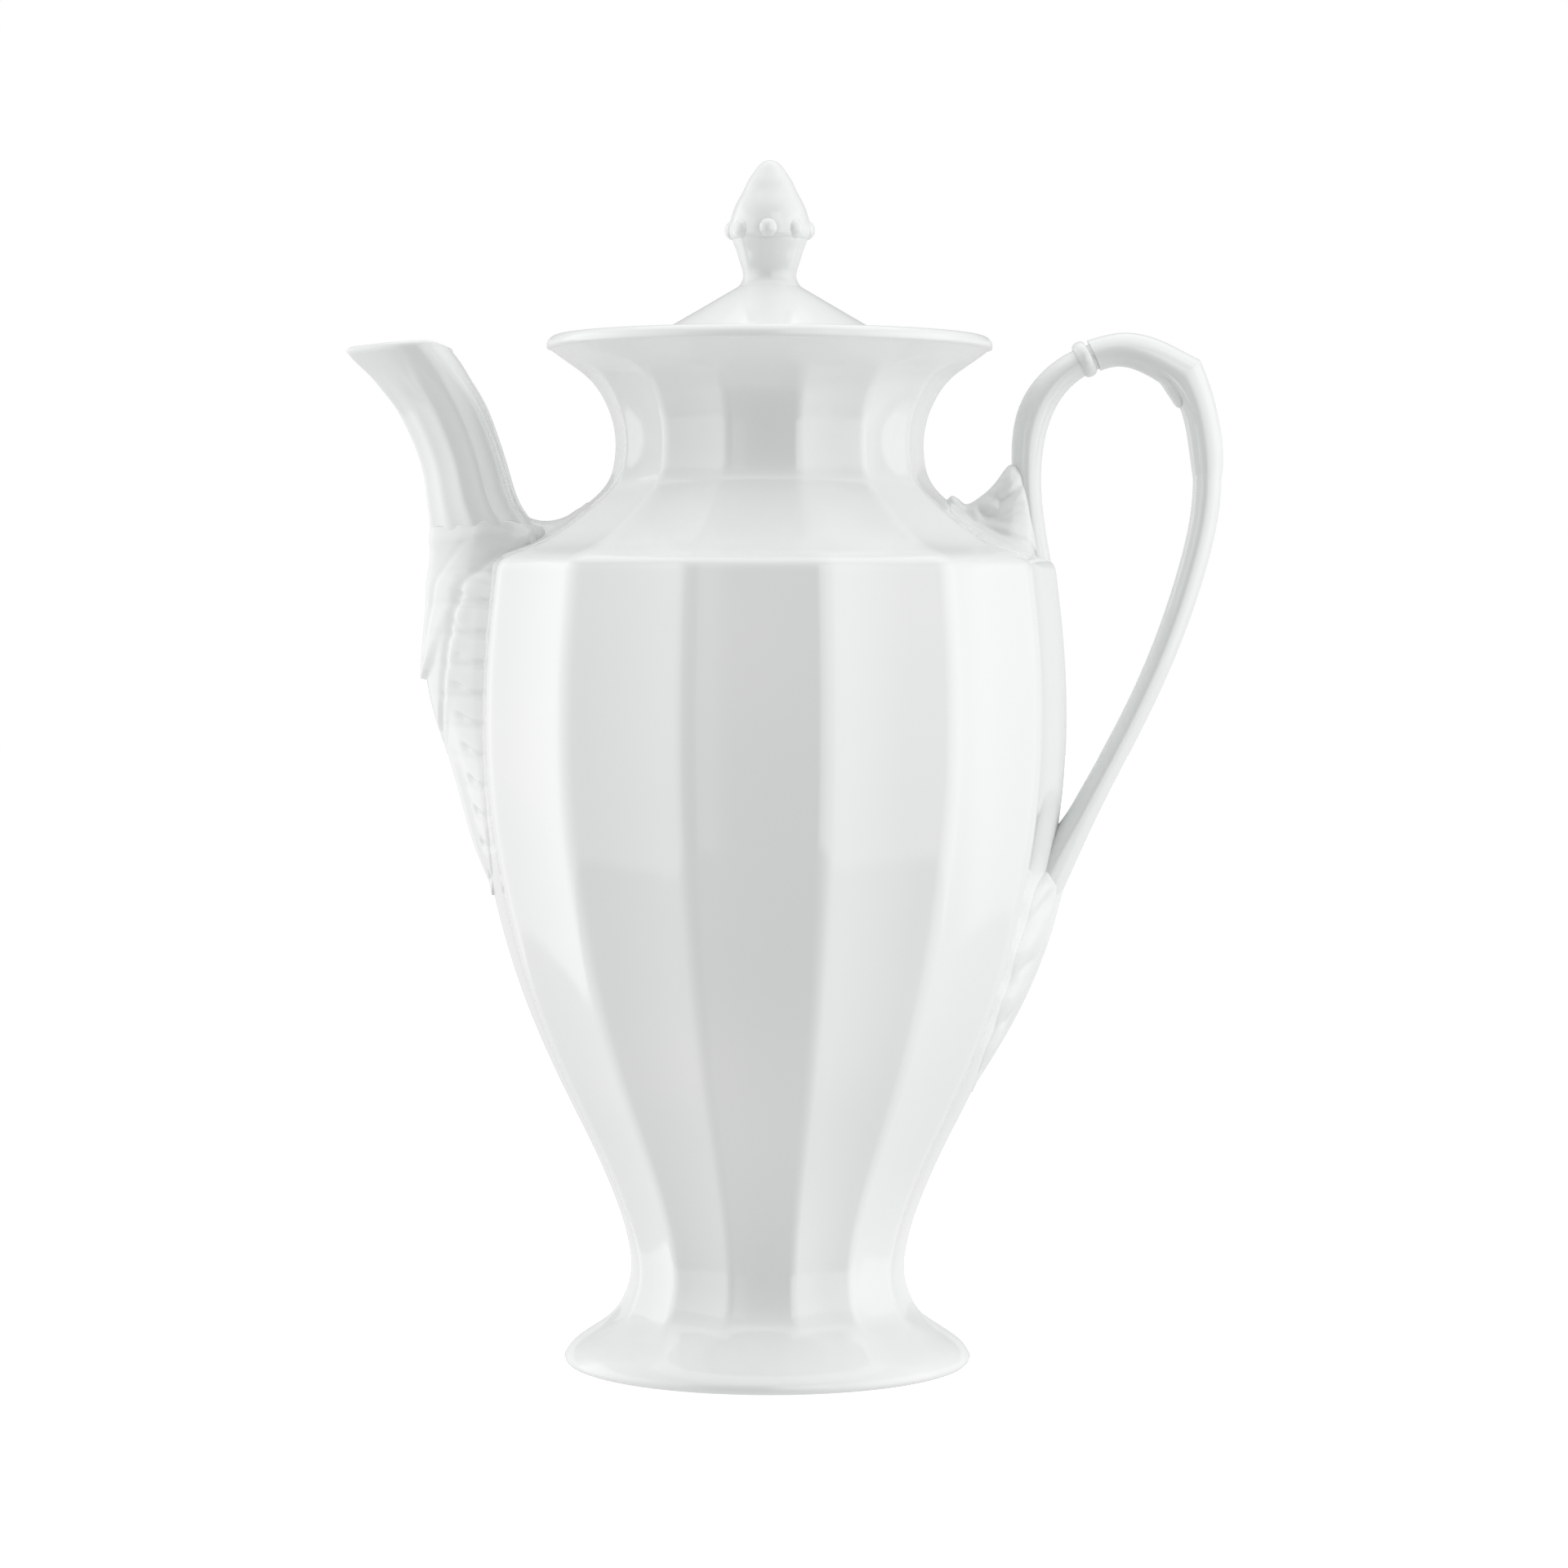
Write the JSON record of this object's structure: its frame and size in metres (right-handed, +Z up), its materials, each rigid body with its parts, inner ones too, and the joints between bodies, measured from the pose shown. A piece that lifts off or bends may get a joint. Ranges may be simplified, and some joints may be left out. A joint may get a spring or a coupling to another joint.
{
  "type": "coffee pot with lift-off lid",
  "caption": "Tall faceted porcelain coffee pot on a pedestal foot, with a high spout, a leafy loop handle and a pointed lift-off lid.",
  "frame": {"origin": "centre of the foot's ground ring, on the surface the pot stands on", "axes": "+Z up through foot, bulb and knob; +X towards the handle, -X towards the spout; the pot is the same on both sides of the XZ plane"},
  "size_m": [0.193, 0.128, 0.2654],
  "materials": {
    "glazed_porcelain": "clear gloss glaze over white porcelain",
    "lid_porcelain": "clear gloss glaze over white porcelain"
  },
  "bodies": {
    "pot": {"bulb_base_shell": "glazed_porcelain", "bulb_middle_shell": "glazed_porcelain", "bulb_upper_shell": "glazed_porcelain", "strainer_wall": "glazed_porcelain", "shoulder_shell": "glazed_porcelain", "neck_shell": "glazed_porcelain", "pedestal_foot": "glazed_porcelain", "spout_tube": "glazed_porcelain", "spout_root_leaf": "glazed_porcelain", "spout_shoulder_leaf": "glazed_porcelain", "handle_loop": "glazed_porcelain", "handle_ring": "glazed_porcelain", "handle_thumb_leaf": "glazed_porcelain", "handle_curl_leaf": "glazed_porcelain", "handle_bracket": "glazed_porcelain", "handle_tail_leaf": "glazed_porcelain"},
    "lid": {"lid_dome": "lid_porcelain", "lid_collar": "lid_porcelain", "knob_cup": "lid_porcelain", "knob_cone": "lid_porcelain", "knob_pearls": "lid_porcelain"}
  },
  "joints": [
    {"name": "lid_lift", "type": "slide", "parent": "pot", "child": "lid", "axis": [0, 0, 1], "range_m": [0, 0.08]}
  ]
}
